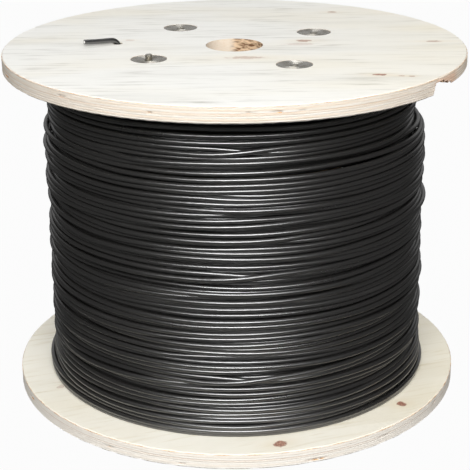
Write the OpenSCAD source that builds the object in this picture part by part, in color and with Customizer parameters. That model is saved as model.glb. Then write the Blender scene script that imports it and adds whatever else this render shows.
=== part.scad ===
// Wooden cable drum, standing on its lower flange, with black cable wound on it.
// Two round plywood flanges clamp a tube barrel between them with four threaded tie rods.
// Each rod end is held by a round plate nut that is drawn into the face of its flange.
// Millimetres. The origin is the centre of the underside, and +Z is the drum's axis.

/* [Flanges] */
// Diameter of both flanges
flange_d = 500; // [460:1:620]
// Thickness of the plywood
flange_t = 17; // [15:0.5:24]
// Number of plies in the plywood
ply_count = 7; // [7:2:11]
// Chamfer on the outer edges
edge_ease = 1.2; // [0.5:0.1:2.5]
// Diameter of the centre hole for a spindle
bore_d = 62; // [40:1:90]

/* [Drum] */
// Overall height over both flanges
drum_h = 380; // [240:1:520]

/* [Barrel] */
// Outside diameter of the barrel tube
barrel_d = 237; // [200:1:270]
// Wall of the barrel tube
barrel_wall = 5; // [3:0.5:8]
// Depth of the groove in each flange that holds the tube
barrel_seat_depth = 4; // [2:0.5:6]
// Gap between the tube and the side of its groove
barrel_seat_gap = 0.2; // [0.1:0.05:0.5]

/* [Tie rods] */
// Diameter of the threaded rods
rod_d = 8; // [6:1:10]
// Gap between a rod and the inside of the barrel
rod_wall_gap = 1; // [0.8:0.1:6]
// Gap round a rod in its flange hole
rod_hole_gap = 0.3; // [0.1:0.1:0.6]
// Angle of the first rod, seen from above
rod_angle = 34.5; // [0:0.5:90]
// How far most rod ends stop short of the flange face
rod_end_inset = 0.6; // [0.3:0.1:1.5]
// How far one rod end stands out of the upper flange
rod_end_proud = 5; // [1:0.5:12]
// Chamfer on the rod ends
rod_chamfer = 0.8; // [0.3:0.1:1.2]

/* [Plate nuts] */
// Diameter of the round plate
plate_d = 38; // [30:1:46]
// Thickness of the plate
plate_t = 2; // [1.5:0.1:3]
// How far the plate is drawn in below the flange face
plate_sink = 0.3; // [0.1:0.1:1]
// Gap between the plate and the side of its recess
plate_gap = 0.2; // [0.1:0.05:0.5]
// Diameter of the pressed dish round the thread
dish_d = 18; // [16:0.5:24]
// Depth of the pressed dish
dish_depth = 0.7; // [0.3:0.1:1]
// Wall of the threaded collar below the plate
collar_wall = 1.8; // [1.2:0.1:2.5]
// Length of the threaded collar below the plate
collar_len = 9; // [5:0.5:10]
// Gap between thread and rod, and between collar and wood
thread_gap = 0.05; // [0.02:0.01:0.1]

/* [Cable] */
// Diameter of the cable
cable_d = 5.5; // [4:0.1:8]
// Number of layers wound on the barrel
cable_layers = 19; // [6:1:20]
// Gap between the barrel and the first layer
wrap_gap = 0.1; // [0.05:0.05:0.5]
// How far single turns of the top layer stand in or out
lay_wave = 1.3; // [0:0.1:2]
// How far the lowest turns bulge out on the lower flange
slump = 6; // [0:0.5:8]
// How many of the lowest turns bulge out
slump_turns = 5; // [2:1:10]
// How far the highest turns fall in below the upper flange
top_slack = 10; // [0:0.5:12]

/* [Cable tail] */
// Diameter of the hole that the cable's inner end comes out of
tail_hole_d = 10.5; // [9.5:0.5:14]
// Wood left between that hole and the barrel groove
tail_hole_web = 3.8; // [2.5:0.1:8]
// Angle of that hole, seen from above
tail_hole_angle = 175; // [160:1:190]
// Direction that the tail points in, seen from above
tail_heading = 208; // [180:1:230]

/* [Rim damage] */
// Angle where the broken edge of the upper flange starts
chip_from = -38.5; // [-60:0.5:-20]
// Width of the break in the lowest ply
chip_width = 31; // [24:1:40]
// Length of the break along the grain in the lowest ply
chip_len = 65; // [50:1:80]
// How much narrower the break is in each higher ply
chip_narrow = 5.2; // [2:0.1:5.5]
// How much shorter the break is in each higher ply
chip_shorten = 9; // [4:0.5:11]
// Number of plies that are broken
chip_plies = 5; // [3:1:5]
// Number of plies whose lip has also come off along the rim
lip_plies = 2; // [1:1:3]
// Angle that the lost lip covers
lip_sweep = 31; // [20:1:40]
// Depth of the lost lip
lip_depth = 11; // [4:0.5:16]

/* [Hidden] */
rod_count = 4;
proud_rod = 3;
$fn = 128;

// Colours
PLY = [0.93, 0.89, 0.80];
BOARD = [0.70, 0.56, 0.40];
ZINC = [0.62, 0.61, 0.58];
SHEATH = [0.06, 0.06, 0.065];

// Cuts run this far past the face that they open
CUT = 1;

flange_r = flange_d / 2;
ply_t = flange_t / ply_count;
barrel_r = barrel_d / 2;
barrel_inner_r = barrel_r - barrel_wall;
rod_circle_r = barrel_inner_r - rod_wall_gap - rod_d / 2;
thread_r = rod_d / 2 + thread_gap;
collar_r = thread_r + collar_wall;
plate_r = plate_d / 2;
traverse = drum_h - 2 * flange_t;

// Winding: nested layers rise by the height of a triangle of touching cables
layer_rise = cable_d * sqrt(3) / 2;
winding_r = barrel_r + cable_layers * layer_rise;
turn_count = floor(traverse / cable_d);
turn_pitch = traverse / turn_count;
// Degrees from the middle of a turn to the points that outline it
TURN_ARC = [-72, -36, 0, 36, 72];
// How sharply the bulge ends, and over how many turns the top slack fades
slump_edge = 1.5;
slack_turns = 12;

tail_hole_r = barrel_r + barrel_seat_gap + tail_hole_web + tail_hole_d / 2;
// Route of the tail from the winding to its cut end: outward, sideways and up from the hole's mouth
tail_route = [
    [-2.2, 0, -flange_t], [-2.2, 0, -12], [-2.2, 0, -8], [-2.1, 0, -5.5],
    [-1.6, 0, -3.2], [-0.6, 0, -1], [1, 0, 1.2], [3.4, 0, 3.1], [6, 0, 4.1],
    [9, 0, 4.5], [13, 0, 4.6], [17, 0, 4.7], [21, 0, 4.9], [25, 0, 5.1],
    [29, 0, 5.3], [33, 0, 5.5], [36, 0, 5.7], [39, 0, 5.9]
];
tail_sides = 12;

// Torn ends of the broken plies, as shares of the width, with how far each point stands back
TORN_END = [[0, 2], [0.22, 9], [0.38, 0], [0.66, 12], [1, 7]];
// Torn edge of the lost lip, as shares of its sweep and of its depth
TORN_LIP = [[0, 1], [0.34, 0.85], [0.5, 1], [0.72, 0.55], [1, 0]];
// How much later the break starts in each higher ply
chip_lean = 0.6;
lip_lean = 1.5;

function polar(r, a) = [r * cos(a), r * sin(a)];
function rod_turn(i) = rod_angle + (i - 1) * 360 / rod_count;

// Outer radius of a turn, counted from the lower flange
function turn_r(i) =
    winding_r
    + lay_wave * (sin(47 * i) + sin(113 * i + 60)) / 2
    + slump / (1 + exp((i - slump_turns) * slump_edge))
    - top_slack * exp(-(turn_count - 1 - i) / slack_turns);

// Half outline of the wound cable: one rounded step for each turn of the top layer
function turn_outline() = [
    for (i = [0:turn_count - 1], a = TURN_ARC)
        [
            turn_r(i) - cable_d / 2 * (1 - cos(a)),
            flange_t + (i + 0.5 + sin(a) / 2) * turn_pitch
        ]
];

// Unit vector along a route at one of its points
function unit(v) = v / norm(v);
function heading(route, i) =
    unit(route[min(i + 1, len(route) - 1)] - route[max(i - 1, 0)]);
// Points of a round tube along a route that lies in the plane of the first and third axes
function tube_points(route, r, sides) = [
    for (i = [0:len(route) - 1], k = [0:sides - 1])
        let (
            side = [0, 1, 0],
            out = cross(side, heading(route, i)),
            a = 360 * k / sides
        )
        route[i] + r * (cos(a) * out + sin(a) * side)
];
function tube_faces(rings, sides) = concat(
    [[for (k = [0:sides - 1]) k]],
    [
        for (i = [0:rings - 2], k = [0:sides - 1])
            [
                i * sides + k, (i + 1) * sides + k,
                (i + 1) * sides + (k + 1) % sides, i * sides + (k + 1) % sides
            ]
    ],
    [[for (k = [sides - 1:-1:0]) (rings - 1) * sides + k]]
);

// A flange lies with its outer face at z = 0 and its inner face at z = flange_t
module flange_board() {
    rotate_extrude()
        polygon([
            [bore_d / 2, 0],
            [flange_r - edge_ease, 0],
            [flange_r, edge_ease],
            [flange_r, flange_t - edge_ease],
            [flange_r - edge_ease, flange_t],
            [bore_d / 2, flange_t]
        ]);
}

// Groove in the inner face that the barrel tube stands in
module barrel_groove() {
    translate([0, 0, flange_t - barrel_seat_depth])
        rotate_extrude()
            translate([barrel_inner_r - barrel_seat_gap, 0])
                square([barrel_wall + 2 * barrel_seat_gap, barrel_seat_depth + CUT]);
}

// Recess for a plate nut, with the hole for its collar and its rod
module nut_seat() {
    translate([0, 0, -CUT])
        cylinder(r = plate_r + plate_gap, h = CUT + plate_sink + plate_t);
    translate([0, 0, -CUT])
        cylinder(r = collar_r + thread_gap, h = CUT + plate_sink + plate_t + collar_len);
    translate([0, 0, -CUT])
        cylinder(r = rod_d / 2 + rod_hole_gap, h = flange_t + 2 * CUT);
}

module at_rod(i) {
    rotate(rod_turn(i))
        translate([rod_circle_r, 0, 0])
            children();
}

module flange() {
    color(PLY)
        difference() {
            flange_board();
            barrel_groove();
            for (i = [1:rod_count])
                at_rod(i) nut_seat();
            children();
        }
}

// Places a piece of the upper flange: the same way up as below, turned over at the top
module on_top() {
    translate([0, 0, drum_h])
        mirror([0, 0, 1])
            children();
}

module tail_hole() {
    rotate(tail_hole_angle)
        translate([tail_hole_r, 0, -CUT])
            cylinder(d = tail_hole_d, h = flange_t + 2 * CUT);
}

// Cuts the plies from the inner face down to number k, in the outline given
module cut_plies(k, outline) {
    translate([0, 0, flange_t - (k + 1) * ply_t])
        linear_extrude((k + 1) * ply_t + CUT)
            polygon(outline);
}

// Break in the rim: torn along the grain, in steps that get smaller from the inner face outwards
module rim_break() {
    start = polar(flange_r, chip_from);
    for (k = [0:chip_plies - 1]) {
        width = chip_width - k * chip_narrow;
        length = chip_len - k * chip_shorten;
        left = start[0] + k * chip_lean;
        front = start[1] - chip_width;
        cut_plies(k, concat(
            [[left, front]],
            [[left + width, front]],
            [for (p = [for (j = [len(TORN_END) - 1:-1:0]) TORN_END[j]])
                [left + width * p[0], start[1] + length - p[1]]]
        ));
    }
}

// Lip of the lowest plies, lost along the rim beside the break
module lost_lip() {
    for (k = [0:lip_plies - 1]) {
        from = chip_from + (k + 1) * lip_lean;
        sweep = lip_sweep - k * 2 * lip_lean;
        depth = lip_depth - k * lip_lean;
        cut_plies(k, concat(
            [for (p = TORN_LIP) polar(flange_r - depth * p[1], from + sweep * p[0])],
            [for (s = [1:-0.25:0]) polar(flange_r + lip_depth, from + sweep * s)]
        ));
    }
}

module bottom_flange() {
    flange();
}

module top_flange() {
    on_top()
        flange() {
            tail_hole();
            rim_break();
            lost_lip();
        }
}

module barrel_tube() {
    color(BOARD)
        translate([0, 0, flange_t - barrel_seat_depth])
            rotate_extrude()
                translate([barrel_inner_r, 0])
                    square([barrel_wall, traverse + 2 * barrel_seat_depth]);
}

module cable_winding() {
    bore = barrel_r + wrap_gap;
    color(SHEATH)
        rotate_extrude()
            polygon(concat(
                [[bore, flange_t]],
                turn_outline(),
                [[bore, flange_t + traverse]]
            ));
}

module cable_tail() {
    color(SHEATH)
        translate([0, 0, drum_h])
            translate(polar(tail_hole_r, tail_hole_angle))
                rotate(tail_heading)
                    polyhedron(
                        tube_points(tail_route, cable_d / 2, tail_sides),
                        tube_faces(len(tail_route), tail_sides),
                        convexity = 4
                    );
}

module tie_rod(i) {
    top = i == proud_rod ? drum_h + rod_end_proud : drum_h - rod_end_inset;
    color(ZINC)
        at_rod(i)
            rotate_extrude()
                polygon([
                    [0, rod_end_inset],
                    [rod_d / 2 - rod_chamfer, rod_end_inset],
                    [rod_d / 2, rod_end_inset + rod_chamfer],
                    [rod_d / 2, top - rod_chamfer],
                    [rod_d / 2 - rod_chamfer, top],
                    [0, top]
                ]);
}

// Round plate with a dished middle and a threaded collar, outer face down
module plate_nut() {
    rim = plate_t / 4;
    collar_end = plate_t + collar_len;
    color(ZINC)
        translate([0, 0, plate_sink])
            rotate_extrude()
                polygon([
                    [thread_r, dish_depth],
                    [collar_r, dish_depth],
                    [dish_d / 2, 0],
                    [plate_r - rim, 0],
                    [plate_r, rim],
                    [plate_r, plate_t],
                    [collar_r, plate_t],
                    [collar_r, collar_end],
                    [thread_r, collar_end]
                ]);
}

module bottom_plate_nut(i) {
    at_rod(i) plate_nut();
}

module top_plate_nut(i) {
    on_top()
        at_rod(i) plate_nut();
}

bottom_flange();
top_flange();
barrel_tube();
cable_winding();
cable_tail();
for (i = [1:rod_count]) {
    tie_rod(i);
    bottom_plate_nut(i);
    top_plate_nut(i);
}
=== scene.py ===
import math

import bmesh
import bpy
import numpy as np
from mathutils import Matrix, Vector


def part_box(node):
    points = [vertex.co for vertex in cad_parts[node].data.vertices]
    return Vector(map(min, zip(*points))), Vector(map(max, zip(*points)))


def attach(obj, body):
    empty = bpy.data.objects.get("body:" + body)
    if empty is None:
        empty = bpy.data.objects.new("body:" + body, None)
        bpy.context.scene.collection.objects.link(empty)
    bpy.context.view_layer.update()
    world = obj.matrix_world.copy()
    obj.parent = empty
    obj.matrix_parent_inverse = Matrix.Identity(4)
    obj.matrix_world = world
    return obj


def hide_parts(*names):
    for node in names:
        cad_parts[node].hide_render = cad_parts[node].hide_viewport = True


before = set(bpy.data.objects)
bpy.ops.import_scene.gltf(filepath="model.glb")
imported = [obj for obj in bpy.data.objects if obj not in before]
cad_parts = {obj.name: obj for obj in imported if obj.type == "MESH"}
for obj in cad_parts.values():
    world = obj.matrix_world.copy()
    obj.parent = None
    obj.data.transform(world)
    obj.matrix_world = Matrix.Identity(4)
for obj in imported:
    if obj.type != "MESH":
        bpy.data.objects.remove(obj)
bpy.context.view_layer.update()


# Bottom flange: the round board that the drum stands on.
# Seven-ply softwood plywood, sawn out round and left bare, with its plies showing at the rim.
# Its upper face has the groove for the barrel, and its underside the seats of four plate nuts.
class Wire:
    """One output of a node. Sums with it add Math nodes to its tree."""

    def __init__(self, graph, socket):
        self.graph = graph
        self.socket = socket

    def math(self, operation, *values):
        return self.graph.node("ShaderNodeMath", {"operation": operation}, dict(enumerate(values)))

    def __add__(self, other):
        return self.math("ADD", self, other)

    def __radd__(self, other):
        return self.math("ADD", other, self)

    def __sub__(self, other):
        return self.math("SUBTRACT", self, other)

    def __rsub__(self, other):
        return self.math("SUBTRACT", other, self)

    def __mul__(self, other):
        return self.math("MULTIPLY", self, other)

    def __rmul__(self, other):
        return self.math("MULTIPLY", other, self)

    def __truediv__(self, other):
        return self.math("DIVIDE", self, other)

    def __abs__(self):
        return self.math("ABSOLUTE", self)

    def root(self):
        return self.math("SQRT", self)

    def floor(self):
        return self.math("FLOOR", self)

    def fade(self):
        """1 at 0, falling off to 0 as the value grows."""
        return self.math("EXPONENT", self * -1.0)

    def most(self, other):
        return self.math("MAXIMUM", self, other)

    def step(self, low, high):
        """0 below low and 1 above high, with a soft edge; low may be the larger one."""
        return self.graph.node(
            "ShaderNodeMapRange",
            {"interpolation_type": "SMOOTHSTEP"},
            {"Value": self, "From Min": low, "From Max": high},
        )


class Graph:
    """A node tree of a finish or of a shape."""

    def __init__(self, tree):
        self.tree = tree

    def node(self, kind, settings=None, inputs=None, output=0):
        made = self.tree.nodes.new(kind)
        for key, value in (settings or {}).items():
            setattr(made, key, value)
        for key, value in (inputs or {}).items():
            if isinstance(value, Wire):
                self.tree.links.new(value.socket, made.inputs[key])
            else:
                made.inputs[key].default_value = value
        return Wire(self, made.outputs[output])


class Finish(Graph):
    """A material with one Principled shader. Fixed values are set on the shader's own sockets."""

    def __init__(self, name, **fixed):
        self.material = bpy.data.materials.new(name)
        self.material.use_nodes = True
        super().__init__(self.material.node_tree)
        self.shader = self.tree.nodes["Principled BSDF"]
        for socket, value in fixed.items():
            self.shader.inputs[socket.replace("_", " ")].default_value = value
        self.place = self.node("ShaderNodeTexCoord", output="Object")

    def set(self, socket, wire):
        self.tree.links.new(wire.socket, self.shader.inputs[socket])

    def split(self, vector):
        return [self.node("ShaderNodeSeparateXYZ", None, {0: vector}, k) for k in range(3)]

    def vector(self, x, y, z):
        return self.node("ShaderNodeCombineXYZ", None, {0: x, 1: y, 2: z})

    def angle(self, y, x):
        return self.node("ShaderNodeMath", {"operation": "ARCTAN2"}, {0: y, 1: x})

    def noise(self, x, y, z, detail=2.0, roughness=0.5):
        inputs = {"Vector": self.vector(x, y, z), "Scale": 1.0, "Detail": detail, "Roughness": roughness}
        return self.node("ShaderNodeTexNoise", None, inputs)

    def mark(self, name):
        """A value stored on the mesh's points."""
        return self.node("ShaderNodeAttribute", {"attribute_name": name}, output="Fac")

    def mix(self, factor, first, second):
        settings = {"data_type": "RGBA", "blend_type": "MIX"}
        return self.node("ShaderNodeMix", settings, {0: factor, 6: first, 7: second}, 2)

    def bump(self, height, strength, depth):
        """Relief of that depth in metres where height runs from 0 to 1."""
        inputs = {"Height": height, "Strength": strength, "Distance": depth}
        self.set("Normal", self.node("ShaderNodeBump", None, inputs))


def paint(red, green, blue):
    """A colour as a paint chart gives it, from 0 to 255, in the linear values that shaders take."""
    parts = (c / 255 for c in (red, green, blue))
    return (*(c / 12.92 if c <= 0.04045 else ((c + 0.055) / 1.055) ** 2.4 for c in parts), 1.0)


def face_outwards(mesh):
    shell = bmesh.new()
    shell.from_mesh(mesh)
    bmesh.ops.recalc_face_normals(shell, faces=shell.faces)
    shell.to_mesh(mesh)
    shell.free()


def smooth(mesh, crease):
    """Shades a mesh smooth, apart from the edges that turn by more than the crease, in degrees."""
    mesh.shade_smooth()
    mesh.set_sharp_from_angle(angle=math.radians(crease))


def new_piece(name, points, faces):
    """An object with its place in its mesh and its faces turned outwards."""
    mesh = bpy.data.meshes.new(name)
    mesh.from_pydata(points, [], faces)
    face_outwards(mesh)
    piece = bpy.data.objects.new(name, mesh)
    bpy.context.scene.collection.objects.link(piece)
    return piece


def settle(piece):
    """Makes what a piece's modifiers give its own plain mesh."""
    depsgraph = bpy.context.evaluated_depsgraph_get()
    made = bpy.data.meshes.new_from_object(piece.evaluated_get(depsgraph), depsgraph=depsgraph)
    draft = piece.data
    piece.modifiers.clear()
    piece.data = made
    bpy.data.meshes.remove(draft)


def discard(piece):
    """Removes a piece that was only a tool or a pattern."""
    mesh = piece.data
    bpy.data.objects.remove(piece)
    bpy.data.meshes.remove(mesh)


def carve(piece, points, faces):
    """Takes a shape out of a piece."""
    cutter = new_piece("cutter", points, faces)
    cut = piece.modifiers.new("cut", "BOOLEAN")
    cut.operation = "DIFFERENCE"
    cut.solver = "MANIFOLD"
    cut.object = cutter
    settle(piece)
    piece.data.materials.clear()
    discard(cutter)


def turned(outline, around):
    """Points and faces of a ring whose section is the closed outline of radius and height."""
    count = len(outline)
    turns = [(math.cos(a), math.sin(a)) for a in np.arange(around) * math.tau / around]
    points = [(r * c, r * s, z) for c, s in turns for r, z in outline]
    faces = [
        (i * count + j, k * count + j, k * count + (j + 1) % count, i * count + (j + 1) % count)
        for i, k in ((i, (i + 1) % around) for i in range(around))
        for j in range(count)
    ]
    return points, faces


def prisms(outlines, low, high):
    """Points and faces of upright blocks on the outlines given."""
    points = []
    faces = []
    for outline in outlines:
        base = len(points)
        count = len(outline)
        points += [(x, y, z) for z in (low, high) for x, y in outline]
        faces += [tuple(base + count - 1 - i for i in range(count))]
        faces += [tuple(base + count + i for i in range(count))]
        for i in range(count):
            k = (i + 1) % count
            faces.append((base + i, base + k, base + count + k, base + count + i))
    return points, faces


def polar(radius, degrees):
    return (radius * math.cos(math.radians(degrees)), radius * math.sin(math.radians(degrees)))


def disc(centre, radius, sides):
    return [
        (centre[0] + radius * math.cos(a), centre[1] + radius * math.sin(a))
        for a in np.arange(sides) * math.tau / sides
    ]


MM = 0.001
PLIES = 7
EDGE_EASE = 1.2 * MM
BORE_R = 31 * MM
BARREL_WALL = 5 * MM
SEAT_GAP = 0.2 * MM
PLATE_SINK = 0.3 * MM
# Radius and depth of what is sunk into the outer face at each tie rod
PLATE_SEAT = (19.2 * MM, 2.3 * MM)
COLLAR_SEAT = (5.9 * MM, 11.3 * MM)
ROD_HOLE = (4.3 * MM, 18.5 * MM)
CUT_PAST = 1 * MM
RIM_STEPS = 720
ROWS_PER_PLY = 4
SEAT_SIDES = 64
flange_low, flange_high = (Vector(corner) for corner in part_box("bottom_flange"))
FLANGE_R = flange_high.x
FLANGE_T = flange_high.z - flange_low.z
barrel_low, barrel_high = (Vector(corner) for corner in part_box("barrel_tube"))
rod_centres = [
    [(low + high) / 2 for low, high in zip(*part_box(f"tie_rod_{i}"))][:2] for i in range(1, 5)
]


def flange_board(name, outer_z, inner_z):
    """A flange before its damage: turned board, barrel groove and seats of the plate nuts."""
    rise = math.copysign(1, inner_z - outer_z)
    groove_out = barrel_high.x + SEAT_GAP
    groove_in = barrel_high.x - BARREL_WALL - SEAT_GAP
    groove_floor = FLANGE_T - (flange_high.z - barrel_low.z)
    row = FLANGE_T / (PLIES * ROWS_PER_PLY)
    rim_rows = range(2, PLIES * ROWS_PER_PLY - 1)
    outline = [(BORE_R, 0), (FLANGE_R - EDGE_EASE, 0)]
    outline += [(FLANGE_R, k * row) for k in rim_rows]
    outline += [(FLANGE_R - EDGE_EASE, FLANGE_T), (groove_out, FLANGE_T), (groove_out, groove_floor)]
    outline += [(groove_in, groove_floor), (groove_in, FLANGE_T), (BORE_R, FLANGE_T)]
    outline += [(BORE_R, k * FLANGE_T / PLIES) for k in range(PLIES - 1, 0, -1)]
    board = new_piece(name, *turned([(r, outer_z + rise * w) for r, w in outline], RIM_STEPS))
    open_z = outer_z - rise * CUT_PAST
    for radius, depth in (PLATE_SEAT, COLLAR_SEAT, ROD_HOLE):
        floor_z = outer_z + rise * depth
        seats = [disc(c, radius, SEAT_SIDES) for c in rod_centres]
        carve(board, *prisms(seats, min(open_z, floor_z), max(open_z, floor_z)))
    return board


def weather_rim(board, outer_z, inner_z, seed, voids):
    """Gives the sawn rim its relief: proud and sunk plies, glue lines, gaps in the plies, worn edges."""
    touching = 0.01 * MM
    out_of_round = 0.25 * MM
    glue_sink = 0.18 * MM
    most_proud = 0.3 * MM
    deep_void = 2.4
    draw = np.random.default_rng(seed)
    mesh = board.data
    place = np.empty(len(mesh.vertices) * 3)
    mesh.vertices.foreach_get("co", place)
    place = place.reshape(-1, 3)
    radius = np.hypot(place[:, 0], place[:, 1])
    turn = np.arctan2(place[:, 1], place[:, 0])
    layer = (place[:, 2] - outer_z) / (inner_z - outer_z) * PLIES

    def ripple(low, high, count):
        """Waves round the rim, between the least and the most to a turn."""
        waves = draw.integers(low, high, count)
        starts = draw.uniform(0, math.tau, count)
        return sum(np.sin(n * turn + s) for n, s in zip(waves, starts)) / count

    rim = radius > FLANGE_R - touching
    edge = ~rim & (np.abs(radius - (FLANGE_R - EDGE_EASE)) < touching)
    offset = out_of_round * ripple(2, 9, 4) * (rim | edge)
    ply = np.clip(np.floor(layer), 0, PLIES - 1)
    for k in range(PLIES):
        end_grain = np.cos(turn) ** 2 if k % 2 == 0 else np.sin(turn) ** 2
        rough = ripple(150, 340, 6) * end_grain + 0.4 * ripple(20, 80, 4)
        offset += (rim & (ply == k)) * (0.3 * rough - 0.12 + 0.1 * draw.normal()) * MM
    near_glue = np.abs(layer - np.round(layer)) < 0.1
    offset -= (rim & near_glue) * glue_sink
    offset -= edge * np.clip(0.8 * ripple(30, 110, 5) + 0.2, 0, 2) * MM
    void_shade = np.zeros(len(radius))
    for degrees, k, length, depth in voids:
        away = np.abs((turn - math.radians(degrees) + math.pi) % math.tau - math.pi) * FLANGE_R
        inside = np.clip(1.6 - 1.6 * away / (length * MM / 2), 0, 1) * (np.abs(layer - k - 0.5) < 0.3)
        inside = inside * rim * np.clip(0.75 + 1.2 * ripple(120, 330, 5), 0, 1)
        void_shade = np.maximum(void_shade, inside * min(depth / deep_void, 1))
        offset -= inside * depth * MM
    place[:, :2] *= ((radius + np.minimum(offset, most_proud)) / radius)[:, None]
    mesh.vertices.foreach_set("co", place.ravel())
    # Painted shade: each gap in the plies is darkened more the deeper it is
    mesh.attributes.new("painted_void_shade", "FLOAT", "POINT").data.foreach_set("value", void_shade)
    mesh.update()
    smooth(mesh, 32)
    for face in mesh.polygons:
        face.use_smooth = abs(face.normal.z) < 0.95


class Plywood(Finish):
    """Bare plywood between two heights, with the places and directions that its parts follow."""

    def __init__(self, name, outer_z, inner_z):
        super().__init__(name, Specular_IOR_Level=0.25)
        self.x, self.y, self.z = self.split(self.place)
        normal = self.node("ShaderNodeTexCoord", output="Normal")
        self.nx, self.ny, nz = self.split(normal)
        self.radius = (self.x * self.x + self.y * self.y).root()
        self.turn = self.angle(self.y, self.x)
        self.depth = (self.z - outer_z) / (inner_z - outer_z)
        self.face = abs(nz).step(0.5, 0.8)

    def veneer(self, grain_turn, knots, knot_face, light, streak):
        """Colour, relief and fibre of the faces: long grain that bends round the knots."""
        cos = math.cos(grain_turn)
        sin = math.sin(grain_turn)
        # The figure is mirrored on the unseen side of the board
        mirror = self.depth.step(0.49, 0.51) * (2 * knot_face - 1) + (1 - knot_face)
        along = (self.x * cos + self.y * sin) * (mirror * 2 - 1)
        across = self.y * cos - self.x * sin
        ragged = self.noise(along * 150, across * 150, 4.0, 2.0) - 0.5
        knot = 0.0
        halo = 0.0
        bent = across
        for knot_x, knot_y, length, width, shade in knots:
            beside = across - (knot_y * cos - knot_x * sin) * MM
            near_a = (along - (knot_x * cos + knot_y * sin) * MM) / (length / 2 * MM)
            near_b = beside / (width / 2 * MM)
            apart = near_a * near_a + near_b * near_b
            knot = knot + (apart + ragged * 2.6).step(1.3, 0.5) * shade
            wide = near_a * near_a * 0.12 + near_b * near_b * 0.3
            halo = halo + wide.fade() * (0.5 * shade)
            bent = bent - beside * wide.fade() * 0.7
        side = self.depth * 3.0
        broad = self.noise(along * 3, bent * 26, side, 3.0)
        lines = self.noise(along * 13, bent * 170, side, 4.0, 0.6)
        fibre = self.noise(along * 70, across * 1500, side, 2.0)
        patch = self.noise(along * 9, across * 16, side + 9.0, 2.0).step(0.42, 0.66)
        dark = broad.step(0.45, 0.8) * 0.45 + (fibre - 0.5) * 0.3
        dark = dark + lines.step(0.5, 0.72) * (0.35 + patch * 0.85)
        warm = self.noise(along * 4, across * 9, side + 5.0, 2.0).step(0.45, 0.75)
        warm = warm + self.x.step(0.0, 0.25)
        colour = self.mix(dark, paint(*light), paint(*streak))
        colour = self.mix(warm * 0.25, colour, paint(240, 228, 196))
        colour = self.mix(halo * 0.55, colour, paint(226, 200, 150))
        ring = self.noise(along * 500, across * 900, side, 3.0)
        knot_colour = self.mix(ring.step(0.35, 0.65), paint(122, 78, 62), paint(204, 156, 134))
        colour = self.mix(knot, colour, knot_colour)
        return colour, lines * 0.7 + fibre * 0.5 - knot * 0.5, fibre

    def ply_edges(self, painted_light_lift, seam_ply, chipped):
        """Colour, relief and bands of the rim: long grain and end grain by turns, parted by glue."""
        arc = self.turn * FLANGE_R
        count = self.depth * PLIES
        ply = count.floor()
        part = count - ply
        off_middle = abs(part - 0.5)
        cross = ply.math("MODULO", ply, 2.0)
        flat = self.nx * self.nx + self.ny * self.ny + 0.001
        end_grain = (self.nx * self.nx * (1.0 - cross) + self.ny * self.ny * cross) / flat
        bands = self.noise(arc * 30, ply * 7.0, part * 3.0, 3.0)
        pores = self.noise(arc * 900, self.z * 1200, ply, 2.0)
        long_colour = self.mix(bands.step(0.35, 0.75), paint(231, 227, 219), paint(223, 213, 197))
        end_colour = self.mix(bands.step(0.3, 0.7), paint(231, 220, 206), paint(221, 203, 181))
        colour = self.mix(end_grain, long_colour, end_colour)
        # Painted light: the rim is mixed towards white by this share
        colour = self.mix(painted_light_lift, colour, paint(255, 250, 241))
        colour = self.mix(pores.step(0.55, 0.75) * end_grain * 0.2, colour, paint(206, 176, 144))

        # Glue lines come and go, and one seam is open
        opened_and_lit = self.turn.step(-0.75, -0.6) * self.turn.step(0.3, 0.05) * chipped
        glue_run = self.noise(arc * 14, count.math("ROUND", count) * 5.0, 0.0, 2.0).step(0.42, 0.66)
        glue = off_middle.step(0.42, 0.49) * (glue_run * 0.3 + opened_and_lit * 0.4)
        colour = self.mix(glue, colour, paint(176, 130, 92))
        seam_run = self.noise(arc * 5, seam_ply, 0.0, 2.0).step(0.34, 0.56)
        seam = abs(count - seam_ply).step(0.2, 0.06) * seam_run
        colour = self.mix(seam * 0.5, colour, paint(182, 138, 102))

        # Beside a break the plies have come apart, and raw wood shows
        # Painted light: the rim on this side is painted paler, as if lit from the right
        colour = self.mix(opened_and_lit * 0.6, colour, paint(255, 246, 230))
        colour = self.mix(off_middle.step(0.24, 0.42) * opened_and_lit * 0.5, colour, paint(196, 150, 108))
        raw = self.turn.step(-0.68, -0.63) * self.turn.step(-0.42, -0.5) * count.step(0.7, 1.3) * chipped
        colour = self.mix(raw * (0.25 + pores * 0.5), colour, paint(226, 172, 134))
        # Painted shade in the gaps of the plies
        colour = self.mix(self.mark("painted_void_shade") * 0.9, colour, paint(112, 74, 50))
        return colour, pores * end_grain + bands * 0.5, bands

    def torn_wood(self):
        """Colour, place and shreds of a break in the rim, redder and rougher than the old faces."""
        shreds = self.noise(self.x * 700, self.y * 40, self.z * 700, 3.0)
        colour = self.mix(shreds.step(0.3, 0.7), paint(168, 112, 70), paint(240, 205, 158))
        inside = abs(self.depth - 0.5).step(0.47, 0.44)
        sunk = (1.0 - self.face) * self.radius.step(248.2 * MM, 247.6 * MM)
        torn = self.radius.step(200 * MM, 205 * MM) * (self.face * inside).most(sunk)
        return colour, torn, shreds

    def spindle_hole(self, bands):
        """Colour and place of the spindle hole, scorched by the saw on one side."""
        bore = self.radius.step(BORE_R + 2 * MM, BORE_R + 0.8 * MM) * (1.0 - self.face)
        burnt = self.turn.step(1.8, 1.45) * self.turn.step(-0.6, 0.1)
        scorch = self.noise(self.turn * 3.5, self.z * 330, 1.0, 3.0).step(0.4, 0.62)
        pale = self.mix(bands.step(0.4, 0.7) * 0.5, paint(236, 222, 204), paint(220, 196, 166))
        dark = self.mix(scorch, paint(226, 196, 162), paint(116, 82, 56))
        return self.mix(burnt, pale, dark), bore


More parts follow.
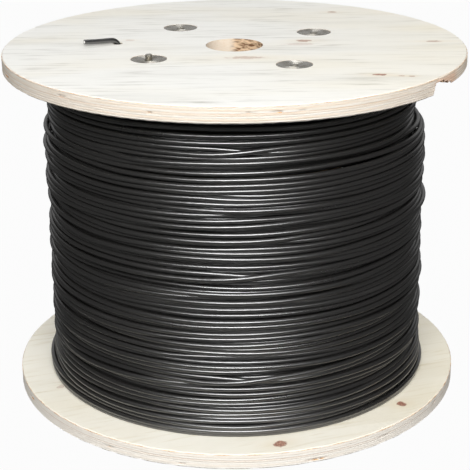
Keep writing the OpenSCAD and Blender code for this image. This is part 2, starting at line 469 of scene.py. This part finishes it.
def plywood(name, outer_z, inner_z, grain_turn, knots, knot_face, light, streak, painted_light_lift, seam_ply, chipped):
    """The whole finish of a flange, with its knots on the outer face, 0, or on the inner one, 1."""
    wood = Plywood(name, outer_z, inner_z)
    face_colour, face_relief, fibre = wood.veneer(grain_turn, knots, knot_face, light, streak)
    rim_colour, rim_relief, bands = wood.ply_edges(painted_light_lift, seam_ply, chipped)
    torn_colour, torn, shreds = wood.torn_wood()
    bore_colour, bore = wood.spindle_hole(bands)
    colour = wood.mix(wood.face, rim_colour, face_colour)
    colour = wood.mix(torn, colour, torn_colour)
    wood.set("Base Color", wood.mix(bore, colour, bore_colour))
    wood.set("Roughness", 0.55 + fibre * 0.25)
    relief = face_relief * wood.face + rim_relief * (1.0 - wood.face)
    wood.bump(relief + shreds * torn * 2.0, 0.5, 0.3 * MM)
    return wood


# Gaps in the plies: degrees round the rim, ply, length and depth in millimetres
BASE_VOIDS = [(-122, 2, 14, 1.0), (-103, 1, 8, 1.4), (-71, 1, 30, 1.4), (-52, 3, 16, 0.8)]
BASE_VOIDS += [(-30, 4, 12, 1.0), (15, 3, 18, 2.2), (64, 2, 20, 2.4), (120, 4, 16, 2.0)]
BASE_VOIDS += [(160, 2, 24, 2.4), (205, 3, 14, 2.2)]
# Knots: place, length along the grain and width in millimetres, and how dark
BASE_KNOTS = [(44, -228, 14, 13, 0.95), (178, -143, 10, 12, 1.0), (-196, -96, 9, 8, 0.35)]
base_board = flange_board("bottom_flange_board", flange_low.z, flange_high.z)
weather_rim(base_board, flange_low.z, flange_high.z, 21, BASE_VOIDS)
# Painted light: the lower flange's face colour is set paler than the upper one's and its rim is lifted
# towards white, to make up for the shade that the upper flange and the cable cast on it
base_finish = plywood(
    "base_plywood", flange_low.z, flange_high.z,
    grain_turn=math.radians(19), knots=BASE_KNOTS, knot_face=1,
    light=(251, 247, 234), streak=(228, 219, 196), painted_light_lift=0.6, seam_ply=4.0, chipped=0,
)
base_board.data.materials.append(base_finish.material)
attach(base_board, "root")
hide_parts("bottom_flange")


# Barrel tube: the plain spiral-wound board tube between the flanges, hidden under the cable.
# Brown paper board, wound from strips that leave a faint slanted seam.
# It stands in a groove of each flange and shows only down the spindle hole.
def barrel_board():
    finish = Finish("barrel_board", Roughness=0.85)
    strip = 90 * MM
    lead = 160 * MM
    x, y, z = finish.split(finish.place)
    along = z / strip + finish.angle(y, x) * (lead / strip / math.tau)
    seam = abs(along - along.floor() - 0.5).step(0.47, 0.5)
    fibre = finish.noise(x * 60, y * 60, z * 220, 4.0)
    colour = finish.mix(fibre, paint(150, 116, 78), paint(188, 153, 110))
    finish.set("Base Color", finish.mix(seam * 0.5, colour, paint(110, 82, 54)))
    finish.bump(fibre - seam, 0.4, 0.4 * MM)
    return finish


barrel_finish = barrel_board()
for material_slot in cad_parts["barrel_tube"].material_slots:
    material_slot.material = barrel_finish.material


# Top flange: the same board turned over, with a hole for the cable's inner end.
# Seven-ply softwood plywood, bleached nearly white on its face.
# Its rim has been knocked: plies are torn off from below in steps, with splinters at their ends.
top_low, top_high = (Vector(corner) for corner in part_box("top_flange"))
TAIL_MOUTH = Vector((*polar(127.75 * MM, 175), top_high.z))
TAIL_HOLE_R = 5.25 * MM
TAIL_HOLE_SIDES = 48
PLY_T = FLANGE_T / PLIES
CHIP_FROM = -38.5
# Each ply further up is torn less far in from its side, less far along, and a little aside
CHIP_PLIES = 5
CHIP_WIDTH = 31 * MM
CHIP_LENGTH = 65 * MM
NARROWER = 5.2 * MM
SHORTER = 9 * MM
ASIDE = 0.6 * MM
# The ragged end: share of the width and how far back in millimetres
TORN_END = [(0, 2), (0.22, 9), (0.38, 0), (0.66, 12), (1, 7)]
END_POINTS = 30
SPLIT_POINTS = 18
# The shallow lip that runs on past the chip on the lowest plies: degrees, and depth in millimetres
LIP_PLIES = 2
LIP_STEP = 1.5
LIP_SWEEP = 31
LIP_SHORTER = 3
LIP_DEPTH = 11
LIP_SHALLOWER = 1.5
# Share of the lip's sweep and of its depth
TORN_LIP = [(0, 1), (0.34, 0.85), (0.5, 1), (0.72, 0.55), (1, 0)]
LIP_POINTS = 44
chip_draw = np.random.default_rng(5)
chip_x, chip_y = polar(FLANGE_R, CHIP_FROM)


def torn_bite(k):
    """Outline of what is torn out of a ply, counted from below, and its ragged end."""
    width = CHIP_WIDTH - k * NARROWER
    length = CHIP_LENGTH - k * SHORTER
    left = chip_x + k * ASIDE
    front = chip_y - CHIP_WIDTH
    end = []
    for share in np.linspace(1, 0, END_POINTS):
        back = np.interp(share, *zip(*TORN_END)) + chip_draw.uniform(-1.6, 1.6)
        end.append((left + width * share, chip_y + length - back * MM))
    split = []
    for share in np.linspace(1, 0, SPLIT_POINTS)[1:-1]:
        across = left + chip_draw.uniform(-0.5, 0.5) * MM
        split.append((across, front + (length + CHIP_WIDTH) * share))
    return [(left, front), (left + width, front), *end, *split], end


def torn_lip(k):
    """Outline of what is knocked off the rim beyond the chip on a ply, counted from below."""
    start = CHIP_FROM + (k + 1) * LIP_STEP
    sweep = LIP_SWEEP - k * LIP_SHORTER
    depth = LIP_DEPTH - k * LIP_SHALLOWER
    inner = []
    for share in np.linspace(0, 1, LIP_POINTS):
        reach = depth * np.interp(share, *zip(*TORN_LIP)) + chip_draw.uniform(-0.7, 0.5)
        inner.append(polar(FLANGE_R - max(reach, -0.5) * MM, start + sweep * share))
    clear_r = FLANGE_R + LIP_DEPTH * MM
    outer = [polar(clear_r, start + sweep * share) for share in np.linspace(1, 0, 9)]
    return inner + outer


top_board = flange_board("top_flange_board", top_high.z, top_low.z)
tail_hole = disc(TAIL_MOUTH, TAIL_HOLE_R, TAIL_HOLE_SIDES)
carve(top_board, *prisms([tail_hole], top_low.z - CUT_PAST, top_high.z + CUT_PAST))
splinters = []
for k in range(CHIP_PLIES):
    bite, end = torn_bite(k)
    cut_top = top_low.z + (k + 1) * PLY_T
    carve(top_board, *prisms([bite], top_low.z - CUT_PAST, cut_top))
    splinters += [(end[j], cut_top - PLY_T * chip_draw.uniform(0.1, 0.9)) for j in range(4, 28, 5)]
for k in range(LIP_PLIES):
    carve(top_board, *prisms([torn_lip(k)], top_low.z - CUT_PAST, top_low.z + (k + 1) * PLY_T))

TOP_VOIDS = [(-108.5, 3, 5, 2.4), (-87, 2, 15, 0.9), (-81, 2, 18, 1.2), (-75.5, 2, 10, 0.8)]
TOP_VOIDS += [(-132, 2, 14, 1.0), (-160, 4, 20, 2.4), (20, 3, 18, 2.2), (58, 2, 22, 2.4)]
TOP_VOIDS += [(101, 4, 16, 2.2), (150, 3, 20, 2.4)]
TOP_KNOTS = [(76, 18, 17, 11, 0.7), (144.5, -135, 14, 9, 0.9), (165, -140, 7, 4, 0.6)]
TOP_KNOTS += [(175.5, -142, 6, 3.5, 0.8), (70, 2, 34, 12, 0.25), (117, 170, 11, 8, 0.6)]
TOP_KNOTS += [(218, 11, 17, 6, 0.65), (12, -59, 40, 12, 0.45), (-115, 27, 10, 5, 0.4)]
weather_rim(top_board, top_high.z, top_low.z, 34, TOP_VOIDS)
top_finish = plywood(
    "top_plywood", top_high.z, top_low.z,
    grain_turn=0.0, knots=TOP_KNOTS, knot_face=0,
    light=(244, 243, 238), streak=(198, 196, 188), painted_light_lift=0.0, seam_ply=3.0, chipped=1,
)
top_board.data.materials.append(top_finish.material)
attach(top_board, "root")
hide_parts("top_flange")

SPLINTER_HEEL = 3 * MM
sliver_points = []
sliver_faces = []
for (root_x, root_y), root_z in splinters:
    base = len(sliver_points)
    reach = chip_draw.uniform(3, 8) * MM
    lean = chip_draw.uniform(-0.25, 0.25)
    half = chip_draw.uniform(0.25, 0.6) * MM
    thick = chip_draw.uniform(0.15, 0.35) * MM
    droop = chip_draw.uniform(-0.6, 0.2) * MM
    heel = root_y + SPLINTER_HEEL
    sliver_points += [(root_x - half, heel, root_z - thick), (root_x + half, heel, root_z - thick)]
    sliver_points += [(root_x + half, heel, root_z + thick), (root_x - half, heel, root_z + thick)]
    sliver_points += [(root_x + lean * reach, root_y - reach, root_z + droop)]
    sliver_faces += [(base + 3, base + 2, base + 1, base)]
    sliver_faces += [(base + i, base + (i + 1) % 4, base + 4) for i in range(4)]
slivers = new_piece("rim_splinters", sliver_points, sliver_faces)
slivers.data.materials.append(top_finish.material)
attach(slivers, "root")


# Tie rods: four lengths of threaded rod that clamp the flanges to the barrel.
# Zinc-plated steel with a coarse rolled thread; the sawn ends are bevelled.
# They pass inside the barrel, and one stands out a little above its nut.
THREAD_PITCH = 1.25 * MM
THREAD_DEPTH = 0.65 * MM
THREADED = 14 * MM
ROWS_PER_PITCH = 6
ROD_R = 4 * MM
ROD_BEVEL = 0.9 * MM
ROD_SIDES = 32


def rod_radius(height, turn, low, high):
    """Radius of the thread at a height and a turn, with its ends bevelled."""
    crest = abs((height / THREAD_PITCH - turn) % 1 - 0.5) * 2
    bevel = min(height - low, high - height) + ROD_R - ROD_BEVEL
    return min(ROD_R - THREAD_DEPTH * min(max(1.35 * crest - 0.2, 0), 1), bevel)


def threaded_rod(low, high, centre, base):
    """Points and faces of a rod, threaded near both ends; base is the number of its first point."""
    rows = list(np.arange(low, low + THREADED, THREAD_PITCH / ROWS_PER_PITCH))
    rows += [high - (z - low) for z in reversed(rows)]
    points = []
    for z in rows:
        for j in range(ROD_SIDES):
            r = rod_radius(z, j / ROD_SIDES, low, high)
            a = math.tau * j / ROD_SIDES
            points.append((centre[0] + r * math.cos(a), centre[1] + r * math.sin(a), z))
    faces = [
        (base + i * ROD_SIDES + j, base + i * ROD_SIDES + (j + 1) % ROD_SIDES,
         base + (i + 1) * ROD_SIDES + (j + 1) % ROD_SIDES, base + (i + 1) * ROD_SIDES + j)
        for i in range(len(rows) - 1) for j in range(ROD_SIDES)
    ]
    faces.append(tuple(base + j for j in reversed(range(ROD_SIDES))))
    faces.append(tuple(base + (len(rows) - 1) * ROD_SIDES + j for j in range(ROD_SIDES)))
    return points, faces


def zinc(name, base, stain):
    """Plated steel, dull and a little yellowed, with grit in the plating."""
    finish = Finish(name, Metallic=0.72)
    x, y, z = finish.split(finish.place)
    cloud = finish.noise(x * 140, y * 140, z * 140, 3.0)
    grit = finish.noise(x * 1400, y * 1400, z * 1400, 2.0)
    colour = finish.mix(cloud.step(0.35, 0.75), paint(*base), paint(*stain))
    finish.set("Base Color", finish.mix(grit.step(0.6, 0.75) * 0.2, colour, paint(96, 90, 80)))
    finish.set("Roughness", 0.22 + cloud * 0.1)
    finish.bump(grit, 0.08, 0.06 * MM)
    return finish


rod_points = []
rod_faces = []
for i, centre in enumerate(rod_centres, 1):
    rod_low, rod_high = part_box(f"tie_rod_{i}")
    made = threaded_rod(rod_low[2], rod_high[2], centre, len(rod_points))
    rod_points += made[0]
    rod_faces += made[1]
rods = new_piece("tie_rods", rod_points, rod_faces)
smooth(rods.data, 40)
rods.data.materials.append(zinc("rod_zinc", (186, 182, 172), (150, 142, 124)).material)
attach(rods, "root")
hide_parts(*(f"tie_rod_{i}" for i in range(1, 5)))


# Plate nuts: round plates with a dished middle and a threaded collar that sinks into the wood.
# Pressed and turned zinc-plated steel, with the rings that the tool left on the face.
# One is screwed on each rod end and drawn in just below the face of the flange.
class Shape(Graph):
    """A Geometry Nodes tree with named inputs that makes a piece's mesh."""

    def __init__(self, name, **inputs):
        super().__init__(bpy.data.node_groups.new(name, "GeometryNodeTree"))
        sockets = self.tree.interface
        sockets.new_socket("Geometry", in_out="OUTPUT", socket_type="NodeSocketGeometry")
        self.keys = {}
        for label, kind in {"Geometry": "Geometry", **inputs, "Finish": "Material"}.items():
            socket = sockets.new_socket(label, in_out="INPUT", socket_type="NodeSocket" + kind)
            self.keys[label] = socket.identifier

    def given(self, label):
        return self.node("NodeGroupInput", output=label)

    def end(self, wire):
        real = self.node("GeometryNodeRealizeInstances", None, {"Geometry": wire})
        inputs = {"Geometry": real, "Material": self.given("Finish")}
        dressed = self.node("GeometryNodeSetMaterial", None, inputs)
        last = self.tree.nodes.new("NodeGroupOutput")
        self.tree.links.new(dressed.socket, last.inputs[0])

    def make(self, piece, **values):
        modifier = piece.modifiers.new("shape", "NODES")
        modifier.node_group = self.tree
        for label, value in values.items():
            modifier[self.keys[label]] = value
        settle(piece)


NUT_SIDES = 72


def nut_outline():
    """Section of a plate nut, outer face up at height 0."""
    thread_r = 4.05 * MM
    collar_r = 5.85 * MM
    collar_end = -11 * MM
    plate_r = 19 * MM
    plate_back = -2 * MM
    groove = 0.55 * MM
    groove_floor = -0.074 * MM
    dish_r = 9.0 * MM
    dish_floor = -0.7 * MM
    outline = [(thread_r, collar_end), (collar_r, collar_end), (collar_r, plate_back), (plate_r, plate_back)]
    outline += [(plate_r, -0.5 * MM), (plate_r - 0.15 * MM, -0.15 * MM), (plate_r - 0.5 * MM, 0)]
    for radius in np.arange(plate_r - 0.7 * MM, 9.3 * MM, -groove):
        outline += [(radius, 0), (radius - groove / 2, groove_floor)]
    outline += [(dish_r, 0), (8.4 * MM, -0.08 * MM), (6.4 * MM, -0.62 * MM), (collar_r, dish_floor)]
    outline += [(4.7 * MM, dish_floor), (thread_r, -1.2 * MM)]
    return outline


nut_pattern = new_piece("nut_pattern", *turned(nut_outline(), NUT_SIDES))
smooth(nut_pattern.data, 6)
nut_row = Shape("nut_row", Nut="Object", Tilt="Float")
nut = nut_row.node("GeometryNodeObjectInfo", None, {"Object": nut_row.given("Nut")}, "Geometry")
tilt = nut_row.node(
    "FunctionNodeAxisAngleToRotation", None, {"Axis": (1, 0, 0), "Angle": nut_row.given("Tilt")}
)
nut_row.end(
    nut_row.node(
        "GeometryNodeInstanceOnPoints",
        None,
        {"Points": nut_row.given("Geometry"), "Instance": nut, "Rotation": tilt},
    )
)
nut_finish = zinc("nut_zinc", (176, 173, 166), (140, 134, 122))
for side, height, tilt_angle in (
    ("top", top_high.z - PLATE_SINK, 0.0),
    ("bottom", flange_low.z + PLATE_SINK, math.pi),
):
    nuts = new_piece(f"{side}_plate_nuts", [(*centre, height) for centre in rod_centres], [])
    nut_row.make(nuts, Nut=nut_pattern, Tilt=tilt_angle, Finish=nut_finish.material)
    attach(nuts, "root")
    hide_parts(*(f"{side}_plate_nut_{i}" for i in range(1, 5)))
discard(nut_pattern)


# Cable winding: the goods, one length of cable wound on the barrel in layers.
# Black plastic sheath with a satin gloss; only the top layer and what shows through it are made.
# The turns lie on each other as they were wound: some dip between their neighbours, some leave gaps.
CABLE_R = 2.75 * MM
WOUND_R = 209.0 * MM
LAYER_RISE = 2 * CABLE_R * math.sqrt(3) / 2
TURNS = 67
TURN_POINTS = 110
INNER_TURNS = 61
INNER_POINTS = 72
INNER_GAP = 1.5 * MM
WIND_START = math.radians(100)
# Share of a turn in which the cable climbs to the next level, behind the drum
CLIMB = 0.16
SLUMP = 6 * MM
TOP_SLACK = 9 * MM
SINK = 4.2 * MM
BULGES = 9
BULGE = 0.65 * MM
# Turns that cross the next one, where in the turn, and over how much of it
CROSSINGS = (11, 33, 58)
CROSS_AT = 0.475
CROSS_RUN = 0.07
LIFT_OVER = 3.2
PRESS_UNDER = 2.4
LIFT_BEHIND = 4.5
wind_draw = np.random.default_rng(17)


def smooth_noise(count, reach):
    """Seeded noise that changes over about the number of points given, from about -1 to 1."""
    span = np.arange(-3 * reach, 3 * reach + 1)
    bell = np.exp(-((span / reach) ** 2))
    raw = np.convolve(wind_draw.normal(size=count + 2 * len(span)), bell, "same")
    raw = raw[len(span) : len(span) + count]
    return raw / (2 * raw.std())


def ease(value):
    """0 below 0 and 1 above 1, with a soft way between."""
    value = np.clip(value, 0, 1)
    return value * value * (3 - 2 * value)


def hump(value, width):
    return np.exp(-((value / width) ** 2))


def foot_spread(level):
    """How far the lowest turns have slipped outwards, by the turns below."""
    return SLUMP / (1 + np.exp((level - 4) * 1.3))


def draw_back(angle, to_go):
    """How far the last turns lie back, by the turns still to go: most on the right, least on the left."""
    right = np.cos(angle)
    share = 0.75 + 0.45 * right + 0.1 * right**2
    return TOP_SLACK * (share * ease((14.5 - to_go) / 5) + ease((5 - to_go) / 4))


def round_drum(radius, angle, height):
    return np.column_stack([radius * np.cos(angle), radius * np.sin(angle), height])


def wound_route():
    """Points of the top layer, from the lower flange to the upper one."""
    low = flange_high.z + CABLE_R
    high = top_low.z - CABLE_R
    count = TURNS * TURN_POINTS
    turn = np.arange(count) / TURN_POINTS
    whole = np.floor(turn)
    part = turn - whole
    rise = ease((part - 1 + CLIMB) / CLIMB)
    level = whole + rise
    inner = np.clip(np.minimum(level, TURNS - 1 - level) / 3, 0, 1)

    # A turn that sinks lets its neighbours close in; further off the turns keep their even pitch
    sunk = SINK * ease(1.6 * smooth_noise(count, 12) - 0.1) * inner
    sunk *= ~np.isin(whole, [n + k for n in CROSSINGS for k in (0, 1)])
    steps = np.diff(sunk.reshape(TURNS, TURN_POINTS), axis=0)
    apart = np.sqrt((2 * CABLE_R) ** 2 - steps**2)
    apart += 0.8 * MM * smooth_noise(steps.size, 30).reshape(steps.shape)
    stack = np.vstack([np.zeros(TURN_POINTS), np.cumsum(apart, axis=0)])
    rows = np.arange(TURNS)
    near = hump(rows[:, None] - rows, 4)
    shift = stack - near @ stack / near.sum(axis=1, keepdims=True)

    # At a crossing a turn changes places with the next one, over it; behind, they change back
    crossed = ease((part - CROSS_AT) / CROSS_RUN + 0.5) * (1 - rise)
    over = np.isin(whole, CROSSINGS)
    under = np.isin(whole - 1, CROSSINGS)
    level = level + crossed * over - crossed * under
    lap = hump(part - CROSS_AT, 0.03)
    lap_behind = hump(part - 1 + CLIMB / 2, 0.05)
    lift = lap * (LIFT_OVER * over - PRESS_UNDER * under) + lap_behind * LIFT_BEHIND * under

    angle = WIND_START + turn * math.tau
    height = low + (high - low) * level / (TURNS - 1) + inner * shift.ravel()
    height += inner * 0.6 * MM * np.sin(2 * angle + 0.23 * level) * np.sin(0.31 * level)

    radius = WOUND_R - CABLE_R - sunk + 0.4 * MM * smooth_noise(count, 16) + lift * MM
    for _ in range(BULGES):
        turns_long = wind_draw.uniform(2.6, 8)
        lobes = wind_draw.integers(-4, 5)
        phase = wind_draw.uniform(0, math.tau)
        radius += BULGE * inner * np.sin(math.tau * level / turns_long + lobes * angle + phase)
    radius += foot_spread(level) - draw_back(angle, TURNS - level)

    # The two ends go down into the layer below
    radius -= LAYER_RISE * (ease((0.12 - turn) / 0.1) + ease((turn - TURNS + 0.12) / 0.1))
    return round_drum(radius, angle, np.clip(height, low, high))


def inner_route():
    """Points of the layer below, wound the other way."""
    count = INNER_TURNS * INNER_POINTS
    turn = np.arange(count) / INNER_POINTS
    angle = WIND_START - turn * math.tau
    radius = WOUND_R - CABLE_R - LAYER_RISE - INNER_GAP
    radius = radius + foot_spread(turn) - draw_back(angle, INNER_TURNS - turn)
    return round_drum(radius, angle, np.linspace(flange_high.z + CABLE_R, top_low.z - CABLE_R, count))


def sheath():
    """Black satin plastic with faint dust and scuffs along the cable."""
    finish = Finish("cable_sheath", IOR=1.8, Specular_IOR_Level=1.0)
    x, y, z = finish.split(finish.place)
    along = finish.mark("along")
    dust = finish.noise(x * 900, y * 900, z * 900, 3.0).step(0.62, 0.8)
    scuff = finish.noise(along * 9, z * 260, 2.0, 2.0).step(0.55, 0.8)
    tone = finish.noise(along * 3, 0.0, 0.0, 2.0)
    colour = finish.mix(tone, paint(30, 29, 28), paint(36, 35, 34))
    colour = finish.mix(scuff * 0.2, colour, paint(60, 58, 56))
    finish.set("Base Color", finish.mix(dust * 0.1, colour, paint(90, 86, 80)))
    finish.set("Roughness", 0.25 + scuff * 0.1 + tone * 0.06)
    finish.bump(finish.noise(along * 70, z * 30, 0.0, 2.0), 0.012, 0.1 * MM)
    return finish


cable_sweep = Shape("cable_sweep", Radius="Float", Sides="Int")
route = cable_sweep.node("GeometryNodeMeshToCurve", None, {"Mesh": cable_sweep.given("Geometry")})
route = cable_sweep.node("GeometryNodeSetCurveNormal", {"mode": "Z_UP"}, {"Curve": route})
measure = cable_sweep.node("GeometryNodeSplineParameter", output="Length")
route = cable_sweep.node(
    "GeometryNodeStoreNamedAttribute",
    {"data_type": "FLOAT", "domain": "POINT"},
    {"Geometry": route, "Name": "along", "Value": measure},
)
section = cable_sweep.node(
    "GeometryNodeCurvePrimitiveCircle",
    {"mode": "RADIUS"},
    {"Resolution": cable_sweep.given("Sides"), "Radius": cable_sweep.given("Radius")},
)
tube = cable_sweep.node(
    "GeometryNodeCurveToMesh", None, {"Curve": route, "Profile Curve": section, "Fill Caps": True}
)
cable_sweep.end(tube)


def cable(name, points, sides, finish):
    """A length of cable along the points, closed at both ends."""
    piece = new_piece(name, [tuple(p) for p in points], [])
    draft = piece.data
    draft.edges.add(len(points) - 1)
    draft.edges.foreach_set("vertices", [k for i in range(len(points) - 1) for k in (i, i + 1)])
    cable_sweep.make(piece, Radius=CABLE_R, Sides=sides, Finish=finish.material)
    face_outwards(piece.data)
    smooth(piece.data, 60)
    return piece


sheath_finish = sheath()
winding = cable("wound_cable", wound_route(), 12, sheath_finish)
under_layer = cable("wound_cable_below", inner_route(), 8, sheath_finish)
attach(winding, "root")
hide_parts("cable_winding")
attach(under_layer, "root")


# Cable tail: the inner end of the cable, brought out through the small hole in the upper flange.
# Black sheath, cut off square, with the pale core showing at the cut.
# It bends over at the hole and lies just above the face.
TAIL_HEADING = 208
# How far out from the hole and how far above the face, in millimetres
TAIL_ROUTE = [(-2.2, -17), (-2.2, -12), (-2.2, -8), (-2.1, -5.5), (-1.6, -3.2), (-0.6, -1), (1, 1.2)]
TAIL_ROUTE += [(3.4, 3.1), (6, 4.1), (9, 4.5), (13, 4.6), (17, 4.7), (21, 4.9), (25, 5.1), (29, 5.3)]
TAIL_ROUTE += [(33, 5.5), (36, 5.7), (39, 5.9)]
TAIL_SIDES = 24
heading = Vector((*polar(1, TAIL_HEADING), 0))
tail_points = [TAIL_MOUTH + heading * (out * MM) + Vector((0, 0, up * MM)) for out, up in TAIL_ROUTE]
tail_length = sum((b - a).length for a, b in zip(tail_points, tail_points[1:]))
tail = cable("cable_tail_end", tail_points, TAIL_SIDES, sheath_finish)

CORE_R = 1.5 * MM
CORE_EYE = 0.05 * MM
CORE_SUNK = -0.4 * MM
core_outline = [(CORE_EYE, CORE_SUNK), (CORE_R, CORE_SUNK), (CORE_R, 0.25 * MM)]
core_outline += [(CORE_R * 0.7, 0.4 * MM), (CORE_EYE, 0.45 * MM)]
core = new_piece("cable_tail_core", *turned(core_outline, TAIL_SIDES))
last_step = tail_points[-1] - tail_points[-2]
core.data.transform(
    Matrix.Translation(tail_points[-1]) @ last_step.to_track_quat("Z", "Y").to_matrix().to_4x4()
)
core.data.shade_smooth()
core_finish = Finish("cable_core", Roughness=0.35)
grain = core_finish.noise(*(part * 1600 for part in core_finish.split(core_finish.place)))
core_finish.set("Base Color", core_finish.mix(grain, paint(214, 212, 206), paint(250, 249, 246)))
core.data.materials.append(core_finish.material)
for piece in (tail, core):
    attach(piece, "root")
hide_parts("cable_tail")


# Stage: a pale floor, soft light from above the camera and a little from behind, and the camera.
# The floor is white where the camera sees it, and a little of the drum's shadow stays on it.
# The camera stands where the photograph was taken from.
def soft_light(name, place, aim, width, height, watts):
    lamp = bpy.data.lights.new(name, "AREA")
    lamp.shape = "RECTANGLE"
    lamp.size = width
    lamp.size_y = height
    lamp.energy = watts
    holder = bpy.data.objects.new(name, lamp)
    holder.location = place
    holder.rotation_euler = (Vector(aim) - Vector(place)).to_track_quat("-Z", "Y").to_euler()
    bpy.context.scene.collection.objects.link(holder)


soft_light("key_light", (-0.02, -1.75, 1.4), (0, 0, 0.2), 1.15, 0.6, 19)
soft_light("wide_light", (-0.02, -1.95, 1.36), (0, 0, 0.2), 2.3, 0.4, 22)
soft_light("strip_light", (-0.02, -2.2, 1.42), (0, 0, 0.2), 3.8, 0.3, 13)
soft_light("back_light", (0.0, 1.62, 2.24), (0, 0, 0.38), 0.5, 0.45, 4.5)


def ray_kinds(graph):
    """1 for what the camera sees, straight or through glass, and 1 for what a gloss mirrors."""
    kinds = ("Is Camera Ray", "Is Transmission Ray", "Is Glossy Ray")
    straight, through, mirrored = (graph.node("ShaderNodeLightPath", output=kind) for kind in kinds)
    return straight + through, mirrored


FLOOR_HALF = 6.0
SHADOW_SHARE = 0.03
MIRROR_SHARE = 0.01
floor_mesh = bpy.data.meshes.new("floor")
floor_mesh.from_pydata(
    [(x * FLOOR_HALF, y * FLOOR_HALF, 0.0) for x, y in ((-1, -1), (1, -1), (1, 1), (-1, 1))],
    [],
    [(0, 1, 2, 3)],
)
floor = bpy.data.objects.new("floor", floor_mesh)
bpy.context.scene.collection.objects.link(floor)
floor_finish = Finish("pale_floor", Roughness=0.9, Base_Color=paint(62, 62, 61))
seen, mirrored = ray_kinds(floor_finish)
white = floor_finish.node("ShaderNodeEmission", None, {"Color": (1, 1, 1, 1), "Strength": 1.0})
lit = Wire(floor_finish, floor_finish.shader.outputs[0])
backing = floor_finish.node(
    "ShaderNodeMixShader",
    None,
    {0: seen * (1 - SHADOW_SHARE) + mirrored * MIRROR_SHARE, 1: lit, 2: white},
)
floor_finish.tree.links.new(
    backing.socket, floor_finish.tree.nodes["Material Output"].inputs["Surface"]
)
floor_mesh.materials.append(floor_finish.material)

# A gloss mirrors a dim room with a paler back wall and ceiling; other light comes evenly from all round
AMBIENT = 0.49
ROOM = 0.035
BACK_WALL = 0.42
ZENITH = 0.6
world = bpy.data.worlds.new("studio")
world.use_nodes = True
bpy.context.scene.world = world
sky = Graph(world.node_tree)
seen, mirrored = ray_kinds(sky)
ray = sky.node("ShaderNodeTexCoord", output="Generated")
back, lift = (sky.node("ShaderNodeSeparateXYZ", None, {0: ray}, k) for k in (1, 2))
backdrop = ROOM + back.step(0.68, 0.83) * lift.step(0.7, 0.5) * (BACK_WALL - ROOM)
backdrop = backdrop + lift.step(0.8, 0.95) * (ZENITH - ROOM)
background = world.node_tree.nodes["Background"]
strength = seen + mirrored * backdrop + (1.0 - seen - mirrored) * AMBIENT
sky.tree.links.new(strength.socket, background.inputs["Strength"])
background.inputs["Color"].default_value = (1, 1, 1, 1)
bpy.context.scene.view_settings.view_transform = "Standard"

PHOTO_SIDE = 470
FOCAL_PIXELS = 1397.8
AXIS_PIXEL = 235.8
camera_data = bpy.data.cameras.new("camera")
camera_data.sensor_width = 36.0
camera_data.lens = camera_data.sensor_width * FOCAL_PIXELS / PHOTO_SIDE
camera_data.clip_start = 0.01
camera = bpy.data.objects.new("camera", camera_data)
camera_place = Vector((0, -1490.7, 723.5)) * MM
camera_pitch = math.radians(20.72)
camera_roll = math.radians(-0.43)
camera_yaw = (AXIS_PIXEL - PHOTO_SIDE / 2) / FOCAL_PIXELS
camera.matrix_world = (
    Matrix.Translation(camera_place)
    @ Matrix.Rotation(camera_yaw, 4, "Z")
    @ Matrix.Rotation(math.pi / 2 - camera_pitch, 4, "X")
    @ Matrix.Rotation(camera_roll, 4, "Z")
)
bpy.context.scene.collection.objects.link(camera)
bpy.context.scene.camera = camera
